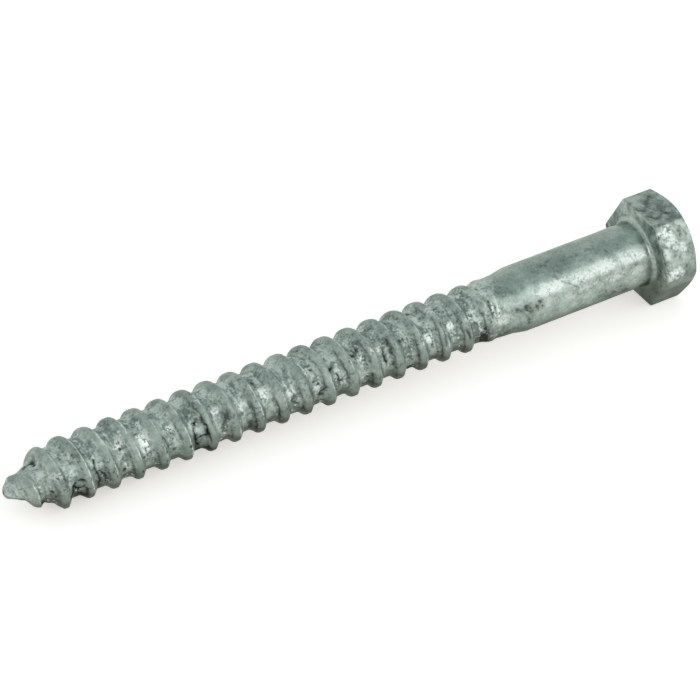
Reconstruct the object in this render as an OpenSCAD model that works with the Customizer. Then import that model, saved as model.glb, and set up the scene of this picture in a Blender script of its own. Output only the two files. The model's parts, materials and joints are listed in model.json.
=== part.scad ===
// Hex lag screw, 3/8 inch by 4 inch, with a thick hot-dipped zinc coat.
// It lies on its side as it comes to rest: on the edge of one head flat and on
// the first full crest of the thread. +X points to the head, +Z points up.
// Each sub-part is drawn upright, with its point down and its axis on Z, and
// the whole screw is then laid down.

/* [Head] */
// Width across the flats of the hex head
head_af = 14; // [13:0.1:15]
// Height of the head
head_h = 5.5; // [4.5:0.1:7]
// Diameter of the flat top that the chamfer leaves
head_top_d = 13.8; // [11:0.1:13.8]
// Slope of the chamfer round the top, in degrees
chamfer_angle = 32; // [20:1:40]
// Radius of the fillet between the shank and the bearing face
fillet_r = 0.6; // [0.3:0.1:1]

/* [Shank] */
// Length from the bearing face to the tip of the point
screw_len = 99; // [90:1:150]
// Diameter of the plain shank
shank_d = 9.5; // [9.3:0.1:10]
// Length of the plain shank under the head
plain_len = 20.5; // [10:0.5:40]
// Length of the taper from the plain shank down to the thread
taper_len = 2.2; // [1:0.1:8]

/* [Thread] */
// Number of thread turns in each inch
turns_per_inch = 7; // [6:1:8]
// Diameter over the crests of the thread
crest_d = 9.2; // [9:0.1:9.3]
// Diameter at the roots of the thread
root_d = 7.5; // [6.6:0.1:7.8]
// Diameter of the neck where the thread runs out
neck_d = 8.7; // [8:0.1:9]
// Width of the rounded crest, as a share of the pitch
crest_share = 0.12; // [0.1:0.01:0.24]
// Width of the flat root, as a share of the pitch
root_share = 0.34; // [0.2:0.01:0.44]
// Number of turns over which the ridge runs out at the neck
runout_turns = 1.5; // [1:0.1:2.5]

/* [Point] */
// Length of the cone of the point
point_len = 6.5; // [5:0.1:9]
// Radius of the blunt nose
nose_r = 0.85; // [0.6:0.05:1.2]
// Length of the domed end of the nose
nose_len = 0.4; // [0.2:0.05:0.6]
// Number of turns over which the ridge grows on the point
start_turns = 0.6; // [0.5:0.1:1.5]

/* [Hidden] */
zinc = "#8d9996";

// Head
corner_r = head_af / 2 / cos(30);
chamfer_drop = (corner_r - head_top_d / 2) * tan(chamfer_angle);

// Thread: a grid with its rows along the helix and its columns along the axis
pitch = 25.4 / turns_per_inch;
root_r = root_d / 2;
neck_r = neck_d / 2;
ridge_h = (crest_d - root_d) / 2;
steps_per_turn = 28;
steps_per_pitch = 8;
thread_end = screw_len - plain_len - taper_len;
first_root = -0.345 * pitch; // where the first root crosses the downward line
steps_across = floor(steps_per_turn * (thread_end - first_root) / pitch);
last_step = steps_across - steps_per_turn;
squeeze_end = 2;   // the pitch closes up between the nose and this height
cap_rings = 3;     // rings on the domed end of the nose
neck_overlap = 0.6; // how far the neck runs up inside the taper
neck_gap = 0.02;    // the neck is this much slimmer than the end of the taper

// Rest: the crest that touches the surface is the first one of full height
rest_crest = first_root + 2.5 * pitch;
rest_tilt = atan((head_af - crest_d) / 2 / (screw_len - rest_crest));
rest_lift = head_af / 2 * cos(rest_tilt) - screw_len * sin(rest_tilt);
rest_shift = ((screw_len + head_h) * cos(rest_tilt) + head_top_d / 2 * sin(rest_tilt)) / 2;

// Smooth step from 0 to 1
function ease(t) = t <= 0 ? 0 : t >= 1 ? 1 : t * t * (3 - 2 * t);

// Height above the tip of a point on the unsqueezed helix
function height(s) =
    s >= squeeze_end ? s :
    nose_len + (squeeze_end - nose_len) * exp((s - squeeze_end) / (squeeze_end - nose_len));

// Radius of the core at a height above the tip
function core_r(a) =
    a < point_len ?
        nose_r + (root_r - nose_r) * (a - nose_len) / (point_len - nose_len) :
        root_r + (neck_r - root_r)
            * ease((a - thread_end + (runout_turns + 0.5) * pitch) / ((runout_turns + 0.5) * pitch));

// Section of the ridge from 0 at the root to 1 at the crest; u is 0 and 1 at the roots
function ridge_form(u) =
    0.5 + 0.5 * cos(180 * min(1, max(0, (abs(2 * u - 1) - crest_share) / (1 - crest_share - root_share))));

// Share of the full ridge height at a step of the helix
function ridge_share(i) =
    ease(i / (start_turns * steps_per_turn))
    * ease((last_step - i) / (runout_turns * steps_per_turn));

// Point at an angle step, a height and a radius
function around(i, a, r) = [r * cos(360 * i / steps_per_turn), r * sin(360 * i / steps_per_turn), a];

// Point of the thread at helix step i and column j
function thread_point(i, j) =
    let (u = j / steps_per_pitch,
         a = height(first_root + pitch * (i / steps_per_turn + u)))
    around(i, a, core_r(a) + ridge_h * ridge_share(i) * ridge_form(u));

// One ring of the core
function ring(a, r) = [for (i = [0 : steps_per_turn - 1]) around(i, a, r)];

// Hex head with the chamfer round its top
module head() {
    color(zinc)
    translate([0, 0, screw_len])
    intersection() {
        rotate([0, 0, 30]) cylinder(h = head_h, r = corner_r, $fn = 6);
        rotate_extrude($fn = 96)
            polygon([
                [0, 0], [corner_r + 1, 0],
                [corner_r + 1, head_h - chamfer_drop - tan(chamfer_angle)],
                [head_top_d / 2, head_h], [0, head_h]
            ]);
    }
}

// Plain shank with its fillet under the head and its taper down to the neck
module shank() {
    color(zinc)
    rotate_extrude($fn = 96)
        difference() {
            polygon([
                [0, thread_end + neck_overlap / 2],
                [neck_r + neck_gap, thread_end + neck_overlap / 2],
                [shank_d / 2, thread_end + taper_len],
                [shank_d / 2, screw_len - fillet_r],
                [shank_d / 2 + fillet_r, screw_len - fillet_r],
                [shank_d / 2 + fillet_r, screw_len],
                [shank_d / 2, screw_len + head_h / 2],
                [0, screw_len + head_h / 2]
            ]);
            translate([shank_d / 2 + fillet_r, screw_len - fillet_r]) circle(r = fillet_r, $fn = 48);
        }
}

// Threaded stretch with its point. The helix has one line of root points that runs
// from the nose to the neck; each step of it carries one section of the ridge.
module thread() {
    n = steps_per_turn;
    m = steps_per_pitch;
    root_points = [for (i = [0 : last_step + n]) thread_point(i, 0)];
    ridge_points = [for (i = [0 : last_step]) for (j = [1 : m - 1]) thread_point(i, j)];
    cap_points = [
        for (k = [1 : cap_rings])
            each ring(nose_len * (1 - cos(90 * k / cap_rings)), nose_r * sin(90 * k / cap_rings))
    ];
    neck_points = concat(ring(thread_end, neck_r), ring(thread_end + neck_overlap, neck_r));

    ridge_at = len(root_points);
    cap_at = ridge_at + len(ridge_points);
    neck_at = cap_at + len(cap_points);
    tip_at = neck_at + len(neck_points);

    // Index of the point at helix step i and column j
    function at(i, j) = j == 0 ? i : j == m ? i + n : ridge_at + i * (m - 1) + j - 1;
    // Index of the point at angle step i of ring k, for rings that start at first
    function on(first, k, i) = first + k * n + i % n;

    ridge_faces = [
        for (i = [0 : last_step - 1]) for (j = [0 : m - 1])
            each [[at(i, j), at(i, j + 1), at(i + 1, j + 1)], [at(i, j), at(i + 1, j + 1), at(i + 1, j)]]
    ];
    cap_faces = [
        for (i = [0 : n - 1]) [tip_at, on(cap_at, 0, i), on(cap_at, 0, i + 1)],
        for (k = [0 : cap_rings - 2]) for (i = [0 : n - 1])
            each [
                [on(cap_at, k, i), on(cap_at, k + 1, i), on(cap_at, k + 1, i + 1)],
                [on(cap_at, k, i), on(cap_at, k + 1, i + 1), on(cap_at, k, i + 1)]
            ]
    ];
    // The plain cone between the last cap ring and the first turn of the helix, and the
    // seam where that turn meets the first section of the ridge
    start_faces = [
        for (i = [0 : n - 2])
            each [
                [on(cap_at, cap_rings - 1, i), at(i, 0), at(i + 1, 0)],
                [on(cap_at, cap_rings - 1, i), at(i + 1, 0), on(cap_at, cap_rings - 1, i + 1)]
            ],
        [at(n - 1, 0), on(cap_at, cap_rings - 1, 0), on(cap_at, cap_rings - 1, n - 1)],
        [at(n - 1, 0), at(0, 0), on(cap_at, cap_rings - 1, 0)],
        for (j = [0 : m - 1]) [at(n - 1, 0), at(0, j + 1), at(0, j)]
    ];
    // The same seam and cone at the neck, and the flat end inside the taper
    end_faces = [
        for (i = [1 : n - 1])
            each [
                [at(last_step + i, 0), on(neck_at, 0, last_step + i), on(neck_at, 0, last_step + i + 1)],
                [at(last_step + i, 0), on(neck_at, 0, last_step + i + 1), at(last_step + i + 1, 0)]
            ],
        [at(last_step + 1, 0), on(neck_at, 0, last_step), on(neck_at, 0, last_step + 1)],
        [at(last_step + 1, 0), at(last_step, m), on(neck_at, 0, last_step)],
        for (j = [0 : m - 1]) [at(last_step + 1, 0), at(last_step, j), at(last_step, j + 1)],
        for (i = [0 : n - 1])
            each [
                [on(neck_at, 0, i), on(neck_at, 1, i), on(neck_at, 1, i + 1)],
                [on(neck_at, 0, i), on(neck_at, 1, i + 1), on(neck_at, 0, i + 1)]
            ],
        [for (i = [n - 1 : -1 : 0]) on(neck_at, 1, i)]
    ];

    color(zinc)
    polyhedron(
        points = concat(root_points, ridge_points, cap_points, neck_points, [[0, 0, 0]]),
        faces = concat(ridge_faces, cap_faces, start_faces, end_faces)
    );
}

// The whole screw in one piece, laid down on its head and its first full crest
module lag_screw() {
    color(zinc)
    translate([-rest_shift, 0, rest_lift])
    rotate([0, 90 - rest_tilt, 0])
    union() {
        head();
        shank();
        thread();
    }
}

lag_screw();
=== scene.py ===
import json
import math

import bpy
import numpy as np
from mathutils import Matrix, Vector, noise


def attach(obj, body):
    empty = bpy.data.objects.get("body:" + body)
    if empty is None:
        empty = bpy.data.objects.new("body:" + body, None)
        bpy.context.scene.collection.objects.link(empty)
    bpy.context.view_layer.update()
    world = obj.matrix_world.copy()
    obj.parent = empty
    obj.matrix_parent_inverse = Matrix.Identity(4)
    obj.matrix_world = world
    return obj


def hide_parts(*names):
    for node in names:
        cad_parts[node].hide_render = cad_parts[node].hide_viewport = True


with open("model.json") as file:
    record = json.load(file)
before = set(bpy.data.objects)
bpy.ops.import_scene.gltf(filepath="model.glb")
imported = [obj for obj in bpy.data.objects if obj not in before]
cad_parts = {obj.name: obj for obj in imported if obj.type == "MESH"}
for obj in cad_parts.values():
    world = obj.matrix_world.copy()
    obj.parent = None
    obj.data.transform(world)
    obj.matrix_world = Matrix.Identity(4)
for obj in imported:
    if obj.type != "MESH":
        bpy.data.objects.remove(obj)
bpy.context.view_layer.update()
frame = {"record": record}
mm = 0.001
print("frame loaded")

# The screw's sizes in mm. Heights are above the tip, along the screw.
screw = {
    "pitch": 25.4 / 7,        # seven turns to the inch
    "firstRoot": -0.345,      # in pitches, where the first root crosses the downward line
    "length": 99.0,           # from the bearing face to the tip
    "threadEnd": 76.3,
    "taperLength": 2.2,
    "crestRadius": 4.6,
    "rootRadius": 3.75,
    "neckRadius": 4.35,
    "crestShare": 0.12,       # rounded crest and flat root, as shares of the pitch
    "rootShare": 0.34,
    "filledShare": 0.2,       # flat root on the tip side, where zinc fills the corner
    "startsAt": 0.36,         # turns where the ridge starts, over which it grows, and runs out
    "startTurns": 0.3,
    "runoutTurns": 1.5,
    "pointLength": 6.5,
    "noseRadius": 0.85,
    "noseLength": 0.4,
    "squeezeEnd": 2.0,        # below this height the pitch closes up
    "filletRadius": 0.6,
    "headHeight": 5.5,
    "headHalfWidth": 7.0,     # half the width across the flats
    "headTopRadius": 6.9,
    "chamferSlope": 32.0,     # degrees
    "cornerRadius": 0.45,     # how far the zinc rounds the head's corners and edges
    "edgeRadius": 0.32,
    "topEdgeHeight": 0.1,
    "topEdgeWidth": 0.25,
    "softEdge": 0.06,         # over which the shank meets its taper and the flats their chamfer
}

# Where it lies comes from the frame: the plain shank's mount gives the axis
shankMount = next(m for m in frame["record"]["mounts"] if m["name"] == "plain_shank")
screw["shankRadius"] = shankMount["dims"]["r_mm"]
towardsHead = -Vector(shankMount["axis"]).normalized()
bearingCentre = Vector(shankMount["pos_m"]) + towardsHead * mm * (
    shankMount["dims"]["length_mm"] / 2 + screw["filletRadius"])
tip = bearingCentre - towardsHead * screw["length"] * mm
sideways = Vector((0, 1, 0))
downwards = sideways.cross(towardsHead)   # angles round the screw start on this line


def ease(t):
    t = np.clip(t, 0, 1)
    return t * t * (3 - 2 * t)


grid = {
    "around": 144,         # points round the screw, a multiple of twelve for the hex
    "noseRings": 7,
    "threadStep": 0.148,   # mm between rings
    "shankStep": 0.24,
    "headStep": 0.4,
    "faceRings": 9,        # across the bearing face
    "chamferRings": 11,
    "edgeRings": 4,        # on each rounded edge
    "topRings": 13,
}
angles = np.arange(grid["around"]) * 2 * math.pi / grid["around"]


def coreRadius(height):
    s = screw
    cone = s["noseRadius"] + (s["rootRadius"] - s["noseRadius"]) * (
        (height - s["noseLength"]) / (s["pointLength"] - s["noseLength"]))
    neckRun = (s["runoutTurns"] + 0.5) * s["pitch"]
    risen = ease((height - s["threadEnd"] + neckRun) / neckRun)
    body = s["rootRadius"] + (s["neckRadius"] - s["rootRadius"]) * risen
    return np.where(height < s["pointLength"], cone, body)


# Share of the pitch above the root, and turns from the start
def threadPhase(height, angle):
    s = screw
    squeeze = s["squeezeEnd"] - s["noseLength"]
    risen = np.maximum(height - s["noseLength"], 1e-4)
    straight = np.where(height < s["squeezeEnd"], s["squeezeEnd"] + squeeze * np.log(risen / squeeze), height)
    pitches = straight / s["pitch"] - s["firstRoot"] - angle / (2 * math.pi)
    whole = np.floor(pitches)
    return pitches - whole, whole + angle / (2 * math.pi)


def ridgeForm(phase):
    s = screw
    root = np.where(phase < 0.5, s["filledShare"], s["rootShare"])
    flank = (np.abs(2 * phase - 1) - s["crestShare"]) / (1 - s["crestShare"] - root)
    return 0.5 + 0.5 * np.cos(math.pi * np.clip(flank, 0, 1))


def ridgeShare(turns):
    s = screw
    lastTurn = s["threadEnd"] / s["pitch"] - s["firstRoot"] - 1
    return ease((turns - s["startsAt"]) / s["startTurns"]) * ease((lastTurn - turns) / s["runoutTurns"])


def threadRadius(height, angle):
    phase, turns = threadPhase(height, angle)
    ridge = screw["crestRadius"] - screw["rootRadius"]
    return coreRadius(height) + ridge * ridgeShare(turns) * ridgeForm(phase)


# Outline of a hexagon with rounded corners and a flat at angle 0
def hexRadius(angle, halfWidth, corner):
    fromFlat = (angle + math.pi / 6) % (math.pi / 3) - math.pi / 6
    flat = halfWidth / np.cos(fromFlat)
    fromCorner = math.pi / 6 - np.abs(fromFlat)
    centre = (halfWidth - corner) / math.cos(math.pi / 6)
    offset = centre * np.sin(fromCorner)
    arc = centre * np.cos(fromCorner) + np.sqrt(np.maximum(corner ** 2 - offset ** 2, 0))
    onArc = np.abs(offset) < corner / 2
    return np.where(onArc, arc, flat)


def softMin(a, b, width):
    gap = np.clip(0.5 + (b - a) / (2 * width), 0, 1)
    return b * (1 - gap) + a * gap - width * gap * (1 - gap)


# Heights, radii and zone of every ring, from the tip over the head to its top
def makeRings():
    s = screw
    rings = []

    def addRing(height, radius, zone):
        rings.append((height + 0 * angles, radius + 0 * angles, zone))

    for k in range(1, grid["noseRings"]):
        t = math.pi / 2 * k / grid["noseRings"]
        addRing(s["noseLength"] * (1 - math.cos(t)), s["noseRadius"] * math.sin(t), "thread")
    for height in np.arange(s["noseLength"], s["threadEnd"], grid["threadStep"]):
        addRing(height, threadRadius(height, angles), "thread")

    shankEnd = s["length"] - s["filletRadius"]
    for height in np.arange(s["threadEnd"] + 0.1, shankEnd, grid["shankStep"]):
        taper = (height - s["threadEnd"]) / s["taperLength"] * (s["shankRadius"] - s["neckRadius"])
        addRing(height, softMin(s["neckRadius"] + taper, s["shankRadius"], s["softEdge"]), "shank")
    for k in range(grid["edgeRings"] + 1):
        t = math.pi / 2 * k / grid["edgeRings"]
        addRing(shankEnd + s["filletRadius"] * math.sin(t),
                s["shankRadius"] + s["filletRadius"] * (1 - math.cos(t)), "shank")

    edge = s["edgeRadius"]
    inner = s["shankRadius"] + s["filletRadius"]
    outline = hexRadius(angles, s["headHalfWidth"], s["cornerRadius"])
    for k in range(1, grid["faceRings"] + 1):
        share = k / grid["faceRings"]
        addRing(s["length"], inner + (outline - edge - inner) * share, "head")
    for k in range(1, grid["edgeRings"] + 1):
        t = math.pi / 2 * k / grid["edgeRings"]
        addRing(s["length"] + edge * (1 - math.cos(t)), outline - edge * (1 - math.sin(t)), "head")

    top = s["length"] + s["headHeight"]
    slope = math.tan(math.radians(s["chamferSlope"]))
    chamferStart = top - (outline.max() - s["headTopRadius"]) * slope
    flatHeights = np.arange(s["length"] + edge + grid["headStep"], chamferStart - 0.15, grid["headStep"])
    chamferHeights = np.linspace(chamferStart - 0.12, top - s["topEdgeHeight"], grid["chamferRings"])
    for height in [*flatHeights, *chamferHeights]:
        cone = s["headTopRadius"] + (top - height) / slope
        addRing(height, softMin(outline, cone, s["softEdge"]), "head")
    for k in range(1, grid["edgeRings"] + 1):
        t = math.pi / 2 * k / grid["edgeRings"]
        addRing(top - s["topEdgeHeight"] * (1 - math.sin(t)),
                s["headTopRadius"] - s["topEdgeWidth"] * (1 - math.cos(t)), "head")
    flatRadius = s["headTopRadius"] - s["topEdgeWidth"]
    for k in range(1, grid["topRings"]):
        addRing(top, flatRadius * (1 - k / grid["topRings"]), "head")
    return rings, top


def gridNormals(points):
    along = np.gradient(points, axis=0)
    across = np.roll(points, -1, axis=1) - np.roll(points, 1, axis=1)
    normals = np.cross(across, along)
    lengths = np.linalg.norm(normals, axis=2, keepdims=True)
    return normals / np.maximum(lengths, 1e-9)


# Smooth noise from about -1 to 1, with blobs of the given size in mm
def grain(points, size, seed):
    flat = points.reshape(-1, 3) / size + seed * 13.7
    return np.array([noise.noise(p) for p in flat]).reshape(points.shape[:-1])


# Distance to the nearest of many scattered spots, and a random value for each spot
def cells(points, size, seed):
    flat = points.reshape(-1, 3) / size + seed * 7.3
    near, tag = [], []
    for p in flat:
        distances, spots = noise.voronoi(p)
        near.append(distances[0])
        tag.append(noise.cell(spots[0] * 31.7) % 1.0)
    shape = points.shape[:-1]
    return np.array(near).reshape(shape), np.array(tag).reshape(shape)


zincCoat = {
    "rootLump": 0.08,      # mm, how thick the zinc lies in lumps in the roots
    "rootGrit": 0.035,
    "crestWander": 0.05,   # how far the crests wander inwards
    "groovePhase": 0.27,   # where a crease runs along the foot of the ridge, as a share of the pitch
    "grooveWidth": 0.2,
    "grooveDepth": 0.06,
    "streakLength": 1.4,   # mm, streaks wiped round the thread
    "streakWidth": 0.26,
    "streakHeight": 0.012,
    "lipPhase": 0.59,      # where a thin bead runs along the crest
    "lipWidth": 0.13,
    "lipHeight": 0.04,
    "shankWave": 0.02,
    "headWave": 0.03,
    "pitDepth": 0.16,
    "pitSize": 0.8,        # mm between the spots that may be pits
    "pitShare": 0.22,
    "crackDepth": 0.2,
    "crackEdge": 0.12,     # over which a crack's side fades
    "crackHalo": 0.35,     # strength of the grey round a crack
    "spotDepth": 0.02,
    "markRadius": 4.3125,  # at which a mark's degrees turn into mm, between root and crest
    "neckFade": 4.0,       # over which the thread's finish turns into the shank's
    "noseInset": 0.02,     # how far the coat stays inside the blunt end of the nose
}

# Every drawn mark has its height in mm, then degrees up the near side from the underside
zincBlobs = [
    # height, degrees, radius and rise in mm
    (1.45, 212, 0.75, 0.5), (73.5, 219, 0.8, 0.28), (77.8, 185, 0.3, 0.05), (7.3, 45, 0.5, 0.15),
]
crackLines = [
    # width in mm, strength, points
    (0.13, 1.0, [(8.3, 87), (8.45, 94), (8.75, 100)]), (0.12, 0.9, [(9.0, 101), (9.4, 104), (9.8, 102)]),
    (0.08, 0.6, [(9.9, 98), (9.95, 92)]), (0.13, 1.0, [(8.5, 91), (8.85, 85), (9.3, 84)]),
    (0.09, 0.6, [(9.4, 86), (9.6, 91)]), (0.15, 0.9, [(8.3, 85), (8.35, 76), (8.1, 69)]),
    (0.28, 1.0, [(9.1, 66), (9.5, 60), (9.8, 52)]), (0.12, 0.6, [(8.6, 76), (9.1, 73)]),
    (0.16, 0.8, [(10.0, 84), (10.05, 72), (10.1, 56)]),
    (0.13, 0.9, [(12.0, 132), (11.7, 115), (11.9, 104), (12.2, 84), (12.1, 62)]),
    (0.12, 0.8, [(12.2, 108), (12.7, 100), (13.0, 86), (13.1, 72)]),
    (0.08, 0.5, [(6.6, 178), (7.0, 160), (7.3, 142), (7.5, 124)]),
    (0.17, 0.9, [(3.6, 201), (4.1, 200), (4.5, 196), (4.7, 187), (4.6, 177)]),
    (0.10, 0.7, [(4.0, 169), (4.5, 164), (5.1, 160)]), (0.08, 0.5, [(4.2, 160), (4.8, 155)]),
    (0.20, 0.7, [(4.2, 68), (4.6, 52), (5.1, 38)]), (0.12, 0.4, [(7.5, 124), (7.2, 110), (7.2, 96)]),
    (0.09, 0.6, [(6.1, 97), (6.3, 90)]),
    (0.18, 0.45, [(16.0, 133), (16.3, 135)]),
    (0.09, 0.6, [(23.5, 150), (23.9, 132), (24.1, 112), (24.3, 92)]),
    (0.10, 0.9, [(26.75, 131), (26.4, 130), (26.4, 122), (26.3, 114), (26.4, 100)]),
    (0.17, 1.0, [(26.4, 104), (26.4, 92), (26.45, 82), (26.5, 72)]),
    (0.11, 1.0, [(26.4, 91), (26.7, 94)]), (0.16, 1.0, [(26.9, 95), (27.6, 99), (27.9, 105)]),
    (0.10, 0.6, [(26.9, 184), (27.0, 172), (27.2, 160), (27.5, 142)]),
    (0.12, 0.8, [(27.5, 142), (27.7, 128), (27.8, 120)]),
    (0.16, 1.0, [(27.8, 120), (27.9, 109), (28.0, 100)]), (0.12, 0.8, [(28.0, 100), (28.1, 92), (28.2, 85)]),
    (0.35, 0.9, [(26.6, 58), (27.6, 48), (28.3, 56)]),
    (0.22, 0.5, [(31.3, 128), (30.9, 112), (30.5, 98)]),
    (0.10, 0.5, [(34.0, 126), (34.2, 112), (34.3, 100)]),
    (0.12, 0.5, [(34.9, 128), (35.1, 95), (35.3, 80), (35.2, 62)]),
    (0.25, 0.5, [(34.5, 86), (34.6, 70)]),
    (0.12, 0.45, [(38.3, 130), (38.6, 98), (38.8, 76)]),
    (0.10, 0.45, [(41.7, 152), (42.1, 125), (42.3, 100), (42.5, 82), (42.4, 62)]),
    (0.12, 0.7, [(41.4, 107), (41.1, 99), (41.4, 90), (41.8, 87)]),
    (0.10, 0.6, [(45.3, 166), (45.6, 145), (45.8, 125), (45.95, 104)]),
    (0.12, 0.95, [(46.0, 104), (45.6, 98), (45.2, 91)]),
    (0.22, 1.0, [(47.65, 137), (47.35, 130)]),
    (0.10, 0.95, [(48.2, 119), (48.5, 111), (48.2, 104), (48.8, 102)]),
    (0.11, 0.45, [(48.9, 164), (49.0, 140), (49.3, 120), (49.6, 100), (49.5, 76)]),
    (0.11, 0.6, [(51.3, 156), (51.6, 148), (51.5, 140)]),
    (0.12, 0.6, [(52.6, 166), (52.9, 140), (53.1, 120)]),
    (0.30, 0.5, [(53.0, 88), (53.2, 66)]),
    (0.14, 0.9, [(55.65, 138), (55.45, 124), (55.65, 110), (55.8, 103)]),
    (0.14, 0.6, [(56.4, 150), (56.6, 125), (56.8, 105), (56.6, 94)]),
    (0.18, 0.6, [(59.5, 93), (59.5, 91)]),
    (0.30, 1.0, [(59.6, 60), (59.9, 50)]),
    (0.10, 0.45, [(60.2, 140), (60.4, 115), (60.6, 84)]),
    (0.11, 0.5, [(63.9, 156), (64.0, 120), (64.2, 90), (64.3, 70)]),
    (0.16, 0.5, [(64.7, 140), (64.8, 100)]),
    (0.10, 0.45, [(67.3, 150), (67.6, 120), (67.8, 98)]),
    (0.18, 0.7, [(68.2, 108), (68.5, 98), (68.6, 93)]),
    (0.13, 0.6, [(71.0, 140), (71.3, 112), (71.5, 88)]),
    (0.10, 0.7, [(72.7, 142), (72.7, 114)]),
    (0.10, 0.6, [(73.35, 140), (73.4, 118)]),
    (0.45, 0.9, [(71.2, 74), (71.5, 54)]),
    (0.12, 0.5, [(77.2, 103), (77.6, 97), (78.0, 90), (78.2, 76)]),
    (0.34, 0.3, [(76.3, 112), (77.1, 106), (77.9, 112), (78.4, 103), (79.4, 105), (80.2, 112)]),
    (0.08, 0.5, [(76.2, 108), (76.9, 112), (77.5, 104), (78.2, 108), (78.7, 100), (79.6, 108), (80.4, 103)]),
    (0.13, 0.6, [(83.3, 146), (83.7, 142)]),
    (0.10, 0.9, [(84.3, 131), (85.2, 123), (86.3, 111)]),
    (0.11, 0.75, [(89.9, 111), (90.4, 104), (90.6, 94), (90.8, 82)]),
    (0.12, 0.55, [(93.7, 128), (93.8, 114)]),
    (0.13, 0.6, [(99.3, 166), (99.8, 170), (100.6, 160), (101.8, 166), (103.2, 160)]),
    (0.14, 0.6, [(101.0, 190), (102.1, 196), (102.8, 202)]),
    (0.12, 0.5, [(99.4, 184), (100.3, 178), (100.5, 172)]),
    (0.07, 0.7, [(99.3, 96), (99.2, 112), (99.3, 124)]),
    (0.12, 0.6, [(103.7, 134), (103.4, 128)]),
]
# Bright patches are partly shinier zinc and partly painted highlight: most lie in the key light's reflection
# band or where the floor reflects, and the thin one at 98.75 mm is a painted highlight along the fillet
shineAndHighlightPatches = [
    # height, degrees, half length along and half width round in mm, strength
    (82.0, 127, 2.1, 1.0, 1.0), (86.6, 129, 1.8, 0.8, 0.8), (90.8, 132, 1.9, 1.1, 1.0),
    (95.0, 130, 2.0, 1.0, 0.85), (97.7, 126, 0.7, 0.5, 0.9), (88.6, 122, 0.8, 0.4, 0.6),
    (3.35, 141, 0.12, 1.0, 0.8), (3.6, 119, 0.12, 1.0, 0.8), (3.8, 97, 0.12, 0.8, 0.6),
    (87.5, 111, 1.5, 0.5, 0.8), (92.5, 109, 1.5, 0.6, 0.8), (96.0, 104, 1.6, 0.5, 0.6),
    (84.8, 104, 0.8, 0.5, 0.5), (81.0, 110, 1.2, 0.4, 0.6), (74.3, 100, 1.3, 0.8, 0.5),
    (15.8, 144, 0.7, 0.7, 1.0), (19.2, 130, 0.7, 1.5, 1.0), (19.3, 168, 0.5, 0.9, 0.8),
    (8.9, 157, 0.12, 0.9, 0.8), (12.1, 141, 0.3, 0.6, 0.5), (12.75, 158, 0.12, 0.9, 0.6),
    (16.45, 160, 0.12, 0.9, 0.8), (98.75, 150, 0.12, 2.2, 0.8), (23.1, 138, 0.5, 0.5, 1.0),
    (13.65, 166, 0.2, 1.1, 1.0), (17.3, 168, 0.16, 1.0, 1.0),
    (28.2, 170, 0.13, 1.1, 0.9), (32.0, 160, 0.12, 1.0, 0.7), (4.5, 152, 0.7, 0.9, 0.35),
    (6.4, 128, 0.8, 0.5, 0.4), (12.6, 117, 0.5, 0.5, 0.4), (2.4, 165, 0.5, 0.5, 0.5),
    (23.2, 165, 0.5, 0.4, 0.6), (30.0, 137, 0.5, 0.4, 0.7), (33.9, 127, 0.5, 0.7, 0.7),
    (37.3, 139, 0.6, 0.7, 0.9), (44.0, 146, 0.4, 0.5, 0.8), (44.8, 104, 0.5, 0.6, 0.5),
    (41.0, 118, 0.6, 0.5, 0.6), (50.8, 134, 0.3, 0.4, 0.8), (52.2, 130, 0.4, 0.6, 0.9),
    (53.6, 138, 0.2, 0.4, 0.7), (54.5, 134, 0.6, 0.5, 0.6), (62.5, 119, 0.9, 0.7, 0.9),
    (66.1, 130, 0.7, 0.5, 0.9), (69.0, 128, 0.5, 0.5, 1.0), (70.2, 138, 0.3, 0.3, 0.7),
    (73.1, 128, 0.16, 1.0, 0.9), (73.7, 128, 0.2, 1.2, 0.9), (57.8, 176, 0.3, 0.6, 0.6),
    (72.8, 170, 0.5, 0.8, 0.5), (64.2, 172, 0.6, 0.6, 0.6), (62.0, 165, 0.4, 0.9, 0.5),
    (77.8, 185, 0.2, 0.4, 0.8), (100.7, 95, 1.2, 0.35, 0.8), (100.5, 142, 1.3, 0.35, 0.7),
    (101.2, 128, 1.0, 0.5, 0.6), (100.0, 118, 0.5, 0.6, 0.5), (102.5, 119, 0.6, 0.5, 0.5),
]
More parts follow.
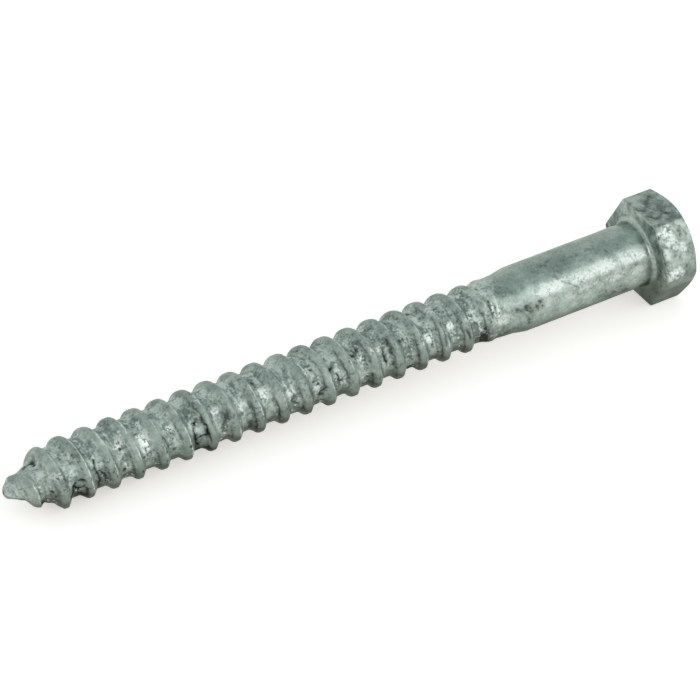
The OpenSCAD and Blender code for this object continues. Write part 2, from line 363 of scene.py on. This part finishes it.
darkSpots = [
    (1.8, 127, 0.2, 0.2, 0.4), (75.1, 181, 0.14, 0.3, 0.6), (76.1, 158, 0.12, 0.12, 0.4),
    (4.9, 124, 0.5, 0.8, 0.16), (82.4, 171, 0.3, 0.2, 0.5), (83.1, 169, 0.2, 0.15, 0.5),
    (83.8, 177, 0.2, 0.2, 0.4), (84.5, 160, 0.2, 0.16, 0.6),
    (85.5, 205, 0.25, 0.2, 0.4), (86.4, 174, 0.15, 0.15, 0.4), (86.1, 167, 0.2, 0.14, 0.4),
    (87.2, 168, 0.2, 0.12, 0.4), (88.0, 166, 0.3, 0.15, 0.4), (89.1, 174, 0.2, 0.15, 0.5),
    (89.3, 161, 0.2, 0.14, 0.4), (89.9, 170, 0.3, 0.2, 0.5), (90.6, 168, 0.4, 0.25, 0.65),
    (91.1, 173, 0.2, 0.2, 0.5), (92.3, 154, 0.25, 0.2, 0.7), (94.5, 158, 0.15, 0.2, 0.4),
    (96.4, 151, 0.2, 0.15, 0.4), (76.4, 112, 0.3, 0.35, 0.5), (77.2, 107, 0.3, 0.45, 0.4),
    (77.9, 111, 0.35, 0.5, 0.65), (78.3, 104, 0.3, 0.35, 0.5), (78.1, 86, 0.25, 0.4, 0.35),
    (78.2, 76, 0.3, 0.3, 0.35), (79.4, 105, 0.3, 0.4, 0.5), (80.0, 111, 0.3, 0.3, 0.55),
    (80.2, 103, 0.2, 0.2, 0.35), (91.5, 73, 0.6, 0.35, 0.4), (92.4, 72, 0.4, 0.3, 0.4),
    # The last spot on the next line, a wide faint band under the shank next to the head, is painted shade
    # from the head
    (94.0, 66, 0.8, 0.4, 0.5), (93.2, 84, 0.25, 0.3, 0.4), (98.2, 80, 0.5, 2.4, 0.18),
    (15.7, 132, 0.3, 0.2, 0.7), (23.2, 92, 0.35, 0.25, 0.6), (25.3, 93, 0.25, 0.2, 0.6),
    (21.7, 82, 0.15, 0.4, 0.7), (18.1, 78, 0.15, 0.35, 0.6), (25.2, 160, 0.25, 0.25, 0.4),
]


# Degrees turned into mm round the screw
def aroundMm(degrees):
    return degrees * math.pi / 180 * zincCoat["markRadius"]


# Shortest distance in mm from every point to a drawn line
def lineDistance(alongMm, acrossMm, line):
    nearest = np.full(alongMm.shape, 1e3)
    for (h0, a0), (h1, a1) in zip(line, line[1:]):
        start = np.array([h0, aroundMm(a0)])
        step = np.array([h1, aroundMm(a1)]) - start
        share = ((alongMm - start[0]) * step[0] + (acrossMm - start[1]) * step[1]) / max(step @ step, 1e-6)
        share = np.clip(share, 0, 1)
        nearest = np.minimum(nearest, np.hypot(alongMm - start[0] - share * step[0],
                                               acrossMm - start[1] - share * step[1]))
    return nearest


rings, topHeight = makeRings()
heights = np.array([r[0] for r in rings])
radii = np.array([r[1] for r in rings])
zones = np.array([r[2] for r in rings])
local = np.stack([radii * np.cos(angles), radii * np.sin(angles), heights], axis=2)
normals = gridNormals(local)
print("form made:", local.shape[0], "rings of", local.shape[1])

onThread = (zones != "head")[:, None] * ease((screw["threadEnd"] - heights) / zincCoat["neckFade"])
onHead = (zones == "head")[:, None] + 0 * heights
onShank = 1 - np.maximum(onThread, onHead)
phase, turns = threadPhase(heights, angles[None, :])
onRidge = ridgeForm(phase) * ridgeShare(turns) * onThread
inRoot = onThread * (1 - onRidge)
nearSide = (360 - np.degrees(angles))[None, :] % 360 + 0 * heights

lumps = grain(local, 1.5, 1)
grit = grain(local, 0.5, 2)
drift = grain(local, 4.0, 3)
wave = grain(local, 2.2, 4)
fine = grain(local, 0.25, 7)
unwound = heights - screw["pitch"] * angles[None, :] / (2 * math.pi)
stretched = unwound * zincCoat["streakLength"] / zincCoat["streakWidth"]
streaks = grain(np.concatenate([local[..., :2], stretched[..., None]], axis=2), zincCoat["streakLength"], 6)
near, tag = cells(local, zincCoat["pitSize"], 5)

# The drawn marks, with edges roughened by the noise
alongMm = heights + 0.14 * grit + 0.12 * lumps
acrossMm = aroundMm(nearSide) + 0.16 * grain(local, 0.6, 8)
cracks = 0 * heights
for width, strength, line in crackLines:
    distance = lineDistance(alongMm, acrossMm, line)
    reach = width * (1.35 + 0.5 * grit + 0.6 * lumps)
    halo = ease((3 * width - distance + 0.25 * lumps) / 0.3)
    cracks = np.maximum(cracks, strength * ease((reach - distance) / zincCoat["crackEdge"]))
    cracks = np.maximum(cracks, zincCoat["crackHalo"] * strength * halo)


def patchMark(patches):
    mark = 0 * heights
    for height, degrees, halfAlong, halfAcross, strength in patches:
        reach = np.hypot((alongMm - height) / halfAlong, (acrossMm - aroundMm(degrees)) / halfAcross)
        mark = np.maximum(mark, strength * ease((1.35 - reach + 0.5 * lumps + 0.5 * grit) / 0.6))
    return mark


shineAndHighlight = patchMark(shineAndHighlightPatches)
spots = patchMark(darkSpots) * (0.45 + 1.1 * ease(0.5 + fine + 0.6 * grit))

# A crease along the foot of the ridge and a bead along its crest, coming and going. The crease is also
# darkened as painted shade, more on the underside, and the bead painted bright as a highlight
pitchMm = screw["pitch"]
onEnd = onHead * np.clip(normals[..., 2], 0, 1)
sinking = np.cos(angles)[None, :] * (1 - onEnd) + 0.15 * wave   # from 1 underneath to -1 on top
crease = ease(1 - np.abs(phase - zincCoat["groovePhase"] + 0.025 * drift) * pitchMm / zincCoat["grooveWidth"])
crease = crease * ridgeShare(turns) * onThread * ease((wave + 0.35) / 0.6)
crease = crease * (0.25 + 0.75 * ease((sinking + 0.75) / 0.9))
bead = ease(1 - np.abs(phase - zincCoat["lipPhase"] + 0.015 * drift) * pitchMm / zincCoat["lipWidth"])
bead = bead * ridgeShare(turns) * onThread * ease((grain(local, 2.6, 9) + 0.1) / 0.4)

# Pits with ragged edges, gathered in some parts of the roots
pits = (tag < zincCoat["pitShare"]) * ease((0.34 + 0.22 * grit + 0.2 * fine - near) / 0.1) * inRoot
pits = pits * ease((drift + 0.3) / 0.4)

blobs = 0 * heights
for height, degrees, radius, rise in zincBlobs:
    distance = np.hypot(heights - height, radii * np.radians(nearSide - degrees))
    blobs = blobs + rise * np.exp(-(distance / radius) ** 2)

# How far the zinc stands off the screw, in mm
lift = (
    blobs + inRoot * (zincCoat["rootLump"] * lumps + zincCoat["rootGrit"] * grit)
    + onRidge * zincCoat["crestWander"] * (0.5 * drift + 0.3 * lumps - 0.5)
    + zincCoat["lipHeight"] * bead - zincCoat["grooveDepth"] * crease
    + zincCoat["streakHeight"] * streaks * onThread
    + onShank * zincCoat["shankWave"] * (wave + 0.3 * grit - 0.7)
    + onHead * zincCoat["headWave"] * (0.6 * wave + 0.4 * lumps + 0.2 * grit - 0.9)
    - zincCoat["pitDepth"] * pits - zincCoat["spotDepth"] * spots
    - zincCoat["crackDepth"] * cracks * (1 - 0.7 * onShank - 0.5 * onHead)
)
lift = np.where(heights < screw["noseLength"], np.minimum(lift, -zincCoat["noseInset"]), lift)
local = local + normals * lift[..., None]

# What the finish goes by, from 0 to 1: flecks in the roots, how mottled, and how much painted shade lies on
# the underside
flecks = ease((grit + 0.7 * lumps - 0.2) / 0.3) * inRoot * ease((heights - 1.5) / 1.5)
mottled = onThread * (0.4 + 0.6 * ease((heights - 3) / 2)) + 0.75 * onHead
mottled = np.clip(mottled + (0.18 + 0.25 * ease(sinking + 0.7)) * onShank, 0, 1)
# Painted shade: growing towards the underside and strongest along the bottom, with a little more in the roots
# underneath
under = ease((sinking + 0.6) / 1.0) * (0.06 + 0.56 * mottled) + (
    0.7 - 0.2 * onShank - 0.4 * onHead) * ease((sinking - 0.2) / 0.4)
under = under + inRoot * ease((sinking - 0.1) / 0.6) * ease((drift + 0.3) / 0.4) * 0.35
# The head's tone is a little darker; it is darker still on its sides and underside than on top, which is
# painted shade
toneAndShade = 1 + 0.03 * onThread - (0.14 - 0.08 * ease(-2 * sinking - 1)) * onHead
# Pits, cracks and spots are dark marks of the coat itself; the crease's share is painted shade in the groove,
# and so is one wide faint spot by the head
darkMarksAndShade = 0.8 * pits + (cracks + spots) * (1 - 0.3 * onShank) + 0.42 * crease
marks = {
    "dark": np.clip(darkMarksAndShade, 0, 1), "fleck": flecks, "streak": streaks * onThread, "mottled": mottled,
    "under": np.clip(under, 0, 1), "toneAndShade": toneAndShade, "shineAndHighlight": np.clip(shineAndHighlight + bead, 0, 1),
    "ridge": onRidge, "thread": onThread,
}
print("zinc laid on")


def makeMesh(name, points, topCentre, marks):
    ringCount, around = points.shape[:2]
    axes = np.array([downwards, sideways, towardsHead])
    ends = np.array([[0, 0, zincCoat["noseInset"]], [0, 0, topCentre]])
    everyPoint = np.concatenate([points.reshape(-1, 3), ends])
    vertices = np.array(tip) + everyPoint @ axes * mm
    tipIndex, topIndex = ringCount * around, ringCount * around + 1
    k, i = np.meshgrid(np.arange(ringCount - 1), np.arange(around), indexing="ij")
    nextI = (i + 1) % around
    quads = np.stack([k * around + i, (k + 1) * around + i, (k + 1) * around + nextI, k * around + nextI],
                     axis=2)
    lastRing = (ringCount - 1) * around
    faces = quads.reshape(-1, 4).tolist()
    faces += [[tipIndex, j, (j + 1) % around] for j in range(around)]
    faces += [[topIndex, lastRing + (j + 1) % around, lastRing + j] for j in range(around)]
    mesh = bpy.data.meshes.new(name)
    mesh.from_pydata(vertices.tolist(), [], faces)
    for markName, values in marks.items():
        attribute = mesh.attributes.new(markName, "FLOAT", "POINT")
        withEnds = np.concatenate([values.ravel(), [values[0].mean(), values[-1].mean()]])
        attribute.data.foreach_set("value", withEnds.astype(np.float32))
    mesh.shade_smooth()
    mesh.update()
    piece = bpy.data.objects.new(name, mesh)
    bpy.context.scene.collection.objects.link(piece)
    return piece


coatedScrew = makeMesh("coatedScrew", local, topHeight, marks)
print("mesh made:", len(coatedScrew.data.polygons), "faces")


def linear(hexColour):
    values = [int(hexColour[i:i + 2], 16) / 255 for i in (1, 3, 5)]
    return tuple(v / 12.92 if v <= 0.04045 else ((v + 0.055) / 1.055) ** 2.4 for v in values) + (1,)


def addNode(tree, kind, inputs=None, **settings):
    node = tree.nodes.new(kind)
    for name, value in settings.items():
        setattr(node, name, value)
    for name, value in (inputs or {}).items():
        if isinstance(value, bpy.types.NodeSocket):
            tree.links.new(value, node.inputs[name])
        else:
            node.inputs[name].default_value = value
    return node


def newMaterial(name):
    material = bpy.data.materials.new(name)
    material.use_nodes = True
    material.node_tree.nodes.clear()
    return material, material.node_tree


def setRamp(ramp, stops):
    elements = ramp.color_ramp.elements
    while len(elements) < len(stops):
        elements.new(0.5)
    for element, (position, colour) in zip(elements, stops):
        element.position = position
        element.color = colour


# Dull grey zinc with a faint green cast: even and semi-glossy on the shank, matt and mottled on the thread,
# with grains of shinier metal and near-black cracks;
# painted shade darkens the underside, the ridge is painted darker for a dark reflection, and the bright
# patches are partly painted highlight
def hotDipGalvanisedZinc():
    look = {
        # The ridge tone stands in for a dark reflection, the darkest green-grey is painted shade underneath,
        # and the bright tones are partly painted highlight
        "dark": "#7c8883", "dull": "#a4b1a9", "pale": "#cad6cd",
        "ridge": "#87938c", "shineAndHighlight": "#c1c7c3", "threadShineAndHighlight": "#e9efea", "crack": "#101310",
        "under": "#50574b",
        "edgeTint": "#d0d6d2",   # how far the rims stay dull where the metal turns away
        "patchSize": 3.2,        # mm
        "mottleSize": 1.3,
        "grainSize": 0.36,       # coarser than the real grains of zinc, which would not show
        "shankMetal": 0.88, "threadMetal": 0.4,
        "shankRough": 0.33, "threadRough": 0.5, "brightRough": 0.22,
        "roughSpread": 0.2,
        "mottleSwing": 1.4, "streakSwing": 0.22,   # how far each pattern moves the tone
        "ridgeShare": 0.3, "pepperShare": 0.5, "fleckShare": 0.75,   # how far each covers what is below
        "bumpHeight": 0.014,     # mm
    }
    material, tree = newMaterial("hotDipGalvanisedZinc")
    place = addNode(tree, "ShaderNodeTexCoord").outputs["Object"]

    def noiseOf(size, detail):
        return addNode(tree, "ShaderNodeTexNoise", {
            "Vector": place, "Scale": 1 / (size * mm), "Detail": detail, "Roughness": 0.6}).outputs["Fac"]

    def markOf(name):
        return addNode(tree, "ShaderNodeAttribute", attribute_name=name).outputs["Fac"]

    def blend(share, first, second):
        return addNode(tree, "ShaderNodeMix", {0: share, 6: first, 7: second}, data_type="RGBA").outputs[2]

    def calc(operation, first, second):
        return addNode(tree, "ShaderNodeMath", {0: first, 1: second}, operation=operation).outputs[0]

    def spread(value, low, high, outLow, outHigh):
        return addNode(tree, "ShaderNodeMapRange", {
            "Value": value, "From Min": low, "From Max": high,
            "To Min": outLow, "To Max": outHigh}).outputs[0]

    patches, mottle, fineGrain = noiseOf(look["patchSize"], 3), noiseOf(look["mottleSize"], 3), noiseOf(
        look["grainSize"], 2)
    thread, ridge, shineAndHighlight, dark = markOf("thread"), markOf("ridge"), markOf("shineAndHighlight"), markOf("dark")
    # The mottle is strong on the thread and the head, faint on the shank,
    mottled = calc("MULTIPLY", calc("SUBTRACT", mottle, 0.5), markOf("mottled"))
    broad = calc("MULTIPLY", calc("SUBTRACT", patches, 0.5), spread(markOf("mottled"), 0.2, 0.7, 0.45, 1))
    grainy = calc("MULTIPLY", calc("SUBTRACT", fineGrain, 0.5), spread(thread, 0, 1, 0.38, 0.75))
    # and fainter on the ridge than in the roots
    swing = calc("ADD", calc("ADD", broad, calc("MULTIPLY", mottled, look["mottleSwing"])), calc(
        "ADD", grainy, calc("MULTIPLY", markOf("streak"), look["streakSwing"])))
    mixed = calc("ADD", calc("MULTIPLY", swing, spread(ridge, 0.2, 1, 1.05, 0.5)), 0.5)
    tone = addNode(tree, "ShaderNodeValToRGB", {"Fac": mixed})
    setRamp(tone, [(0.28, linear(look["dark"])), (0.5, linear(look["dull"])), (0.72, linear(look["pale"]))])
    dim = addNode(tree, "ShaderNodeHueSaturation", {
        "Color": tone.outputs["Color"], "Value": markOf("toneAndShade")}).outputs["Color"]
    # The ridge is blended towards a darker tone as a painted reflection of the dark surroundings it faces
    toneWithRidgeReflection = blend(calc("MULTIPLY", ridge, look["ridgeShare"]), dim, linear(look["ridge"]))

    # Painted shade darkens the underside, and black specks of dirt lie where the patches are dark
    pepper = calc("MULTIPLY", spread(fineGrain, 0.36, 0.42, look["pepperShare"], 0), calc(
        "MULTIPLY", markOf("mottled"), spread(patches, 0.42, 0.56, 1, 0)))
    stained = blend(markOf("under"), toneWithRidgeReflection, linear(look["under"]))
    peppered = blend(pepper, stained, linear(look["crack"]))

    # Bright grains break up the bright patches, which are partly shinier zinc and partly painted highlight,
    # and cracks lie over everything
    flaky = calc("ADD", calc("MULTIPLY", fineGrain, spread(thread, 0, 1, 0.45, 0.8)), calc(
        "MULTIPLY", mottle, spread(thread, 0, 1, 0.55, 0.2)))
    flaky = calc("ADD", flaky, calc("MULTIPLY", markOf("streak"), 0.12))
    grains = calc("MULTIPLY", shineAndHighlight, spread(flaky, 0.4, 0.51, spread(thread, 0, 1, 0.1, 0), 1))
    flecks = calc("MULTIPLY", markOf("fleck"), spread(fineGrain, 0.52, 0.6, 0, look["fleckShare"]))
    shineAndHighlightTone = blend(spread(markOf("mottled"), 0.22, 0.75, 0, 1), linear(look["shineAndHighlight"]), linear(
        look["threadShineAndHighlight"]))
    brightened = blend(calc("MAXIMUM", grains, flecks), peppered, shineAndHighlightTone)
    cracked = blend(dark, brightened, linear(look["crack"]))

    # Bright grains are smoother and more metallic, and cracks are matt
    rough = spread(markOf("mottled"), 0.22, 1, look["shankRough"], look["threadRough"])
    rough = calc("ADD", rough, spread(mottle, 0.35, 0.65, -look["roughSpread"] / 2, look["roughSpread"] / 2))
    rough = calc("ADD", rough, calc("MULTIPLY", grains, look["brightRough"] - look["shankRough"]))
    rough = calc("ADD", rough, calc("MULTIPLY", dark, 0.3))
    metal = calc("ADD", spread(thread, 0, 1, look["shankMetal"], look["threadMetal"]), calc(
        "MULTIPLY", grains, calc("MULTIPLY", thread, 0.2)))
    height = calc("ADD", calc("MULTIPLY", fineGrain, 0.6), calc(
        "MULTIPLY", mottle, spread(thread, 0, 1, 0.8, 1.6)))
    bump = addNode(tree, "ShaderNodeBump", {"Height": height, "Distance": look["bumpHeight"] * mm})
    surface = addNode(tree, "ShaderNodeBsdfPrincipled", {
        "Base Color": cracked, "Roughness": rough, "Metallic": metal, "Normal": bump.outputs["Normal"],
        "Specular Tint": linear(look["edgeTint"])})
    addNode(tree, "ShaderNodeOutputMaterial", {"Surface": surface.outputs["BSDF"]})
    return material


coatedScrew.data.materials.append(hotDipGalvanisedZinc())
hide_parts("lag_screw")
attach(coatedScrew, "root")
print("finish made")

studio = {
    "floorSize": 6.0,          # m
    "floorColour": "#f6f5f2",
    "liftColour": "#fffaf7",
    "floorLift": 0.5,         # light added for the camera and for reflections, to reach white
    "ceiling": "#b4bfc1",
    "horizon": "#e6e9e8",
    "worldLevel": 1.0,
    "keyPower": 0.66,          # W
    "keyDistance": 0.55,       # m
    "keyWidth": 0.5,
    "keyHeight": 0.42,
    "keyElevation": 38.0,      # degrees above the floor, seen along the screw
    "keyTowardsHead": 0.37,    # how far it leans from square-on towards the head
}


# Matt white card that keeps the shadow and looks white round it
def paleFloor():
    material, tree = newMaterial("paleFloor")
    card = addNode(tree, "ShaderNodeBsdfPrincipled", {
        "Base Color": linear(studio["floorColour"]), "Roughness": 0.9, "Specular IOR Level": 0.2})
    path = addNode(tree, "ShaderNodeLightPath").outputs
    seen = addNode(tree, "ShaderNodeMath", {0: path["Is Camera Ray"], 1: path["Is Glossy Ray"]},
                   operation="MAXIMUM")
    seenThrough = addNode(tree, "ShaderNodeMath", {0: seen.outputs[0], 1: path["Is Transmission Ray"]},
                          operation="MAXIMUM")
    strength = addNode(tree, "ShaderNodeMath", {0: seenThrough.outputs[0], 1: studio["floorLift"]},
                       operation="MULTIPLY")
    glow = addNode(tree, "ShaderNodeEmission", {
        "Color": linear(studio["liftColour"]), "Strength": strength.outputs[0]})
    both = addNode(tree, "ShaderNodeAddShader", {0: card.outputs[0], 1: glow.outputs[0]})
    addNode(tree, "ShaderNodeOutputMaterial", {"Surface": both.outputs[0]})
    return material


half = studio["floorSize"] / 2
floorMesh = bpy.data.meshes.new("floor")
corners = [(-half, -half, 0), (half, -half, 0), (half, half, 0), (-half, half, 0)]
floorMesh.from_pydata(corners, [], [(0, 1, 2, 3)])
floor = bpy.data.objects.new("floor", floorMesh)
bpy.context.scene.collection.objects.link(floor)
floor.data.materials.append(paleFloor())

world = bpy.data.worlds.new("studio")
bpy.context.scene.world = world
world.use_nodes = True
world.node_tree.nodes.clear()
direction = addNode(world.node_tree, "ShaderNodeTexCoord").outputs["Generated"]
parts = addNode(world.node_tree, "ShaderNodeSeparateXYZ", {"Vector": direction})
sky = addNode(world.node_tree, "ShaderNodeValToRGB", {"Fac": parts.outputs["Z"]})
horizon, ceiling = linear(studio["horizon"]), linear(studio["ceiling"])
setRamp(sky, [(0.0, horizon), (0.45, horizon), (0.8, ceiling)])
back = addNode(world.node_tree, "ShaderNodeBackground", {
    "Color": sky.outputs["Color"], "Strength": studio["worldLevel"]})
addNode(world.node_tree, "ShaderNodeOutputWorld", {"Surface": back.outputs[0]})

keyAngle = math.radians(studio["keyElevation"])
keyDirection = Vector((studio["keyTowardsHead"], -math.cos(keyAngle), math.sin(keyAngle))).normalized()
key = bpy.data.lights.new("key", "AREA")
key.shape = "RECTANGLE"
key.size, key.size_y = studio["keyWidth"], studio["keyHeight"]
key.energy = studio["keyPower"]
keyObject = bpy.data.objects.new("key", key)
keyObject.location = keyDirection * studio["keyDistance"]
keyObject.rotation_mode = "QUATERNION"
keyObject.rotation_quaternion = keyDirection.to_track_quat("Z", "Y")
keyObject.visible_camera = False
bpy.context.scene.collection.objects.link(keyObject)

camera = {
    "azimuth": -29.95, "elevation": 38.30,   # degrees, azimuth 0 looks along +Y
    "distance": 419.5,                        # mm to the point looked at
    "alongScrew": -50.0,                      # mm from the bearing face to that point
    "focal": 3093.3,                          # pixels of the 700 pixel frame
    "pointX": 330.37, "pointY": 369.22,       # where that point is in the frame
    "frame": 700,
}
az, el = math.radians(camera["azimuth"]), math.radians(camera["elevation"])
backwards = Vector((math.sin(az) * math.cos(el), -math.cos(az) * math.cos(el), math.sin(el)))
lens = bpy.data.cameras.new("camera")
lens.sensor_width = 36
lens.lens = camera["focal"] / camera["frame"] * lens.sensor_width
lens.shift_x = (camera["frame"] / 2 - camera["pointX"]) / camera["frame"]
lens.shift_y = (camera["pointY"] - camera["frame"] / 2) / camera["frame"]
lens.clip_start, lens.clip_end = 0.01, 20
cameraObject = bpy.data.objects.new("camera", lens)
cameraObject.rotation_mode = "QUATERNION"
cameraObject.rotation_quaternion = backwards.to_track_quat("Z", "Y")
lookedAt = bearingCentre + towardsHead * camera["alongScrew"] * mm
cameraObject.location = lookedAt + backwards * camera["distance"] * mm
bpy.context.scene.collection.objects.link(cameraObject)
bpy.context.scene.camera = cameraObject
bpy.context.scene.view_settings.view_transform = "Standard"
print("studio set")
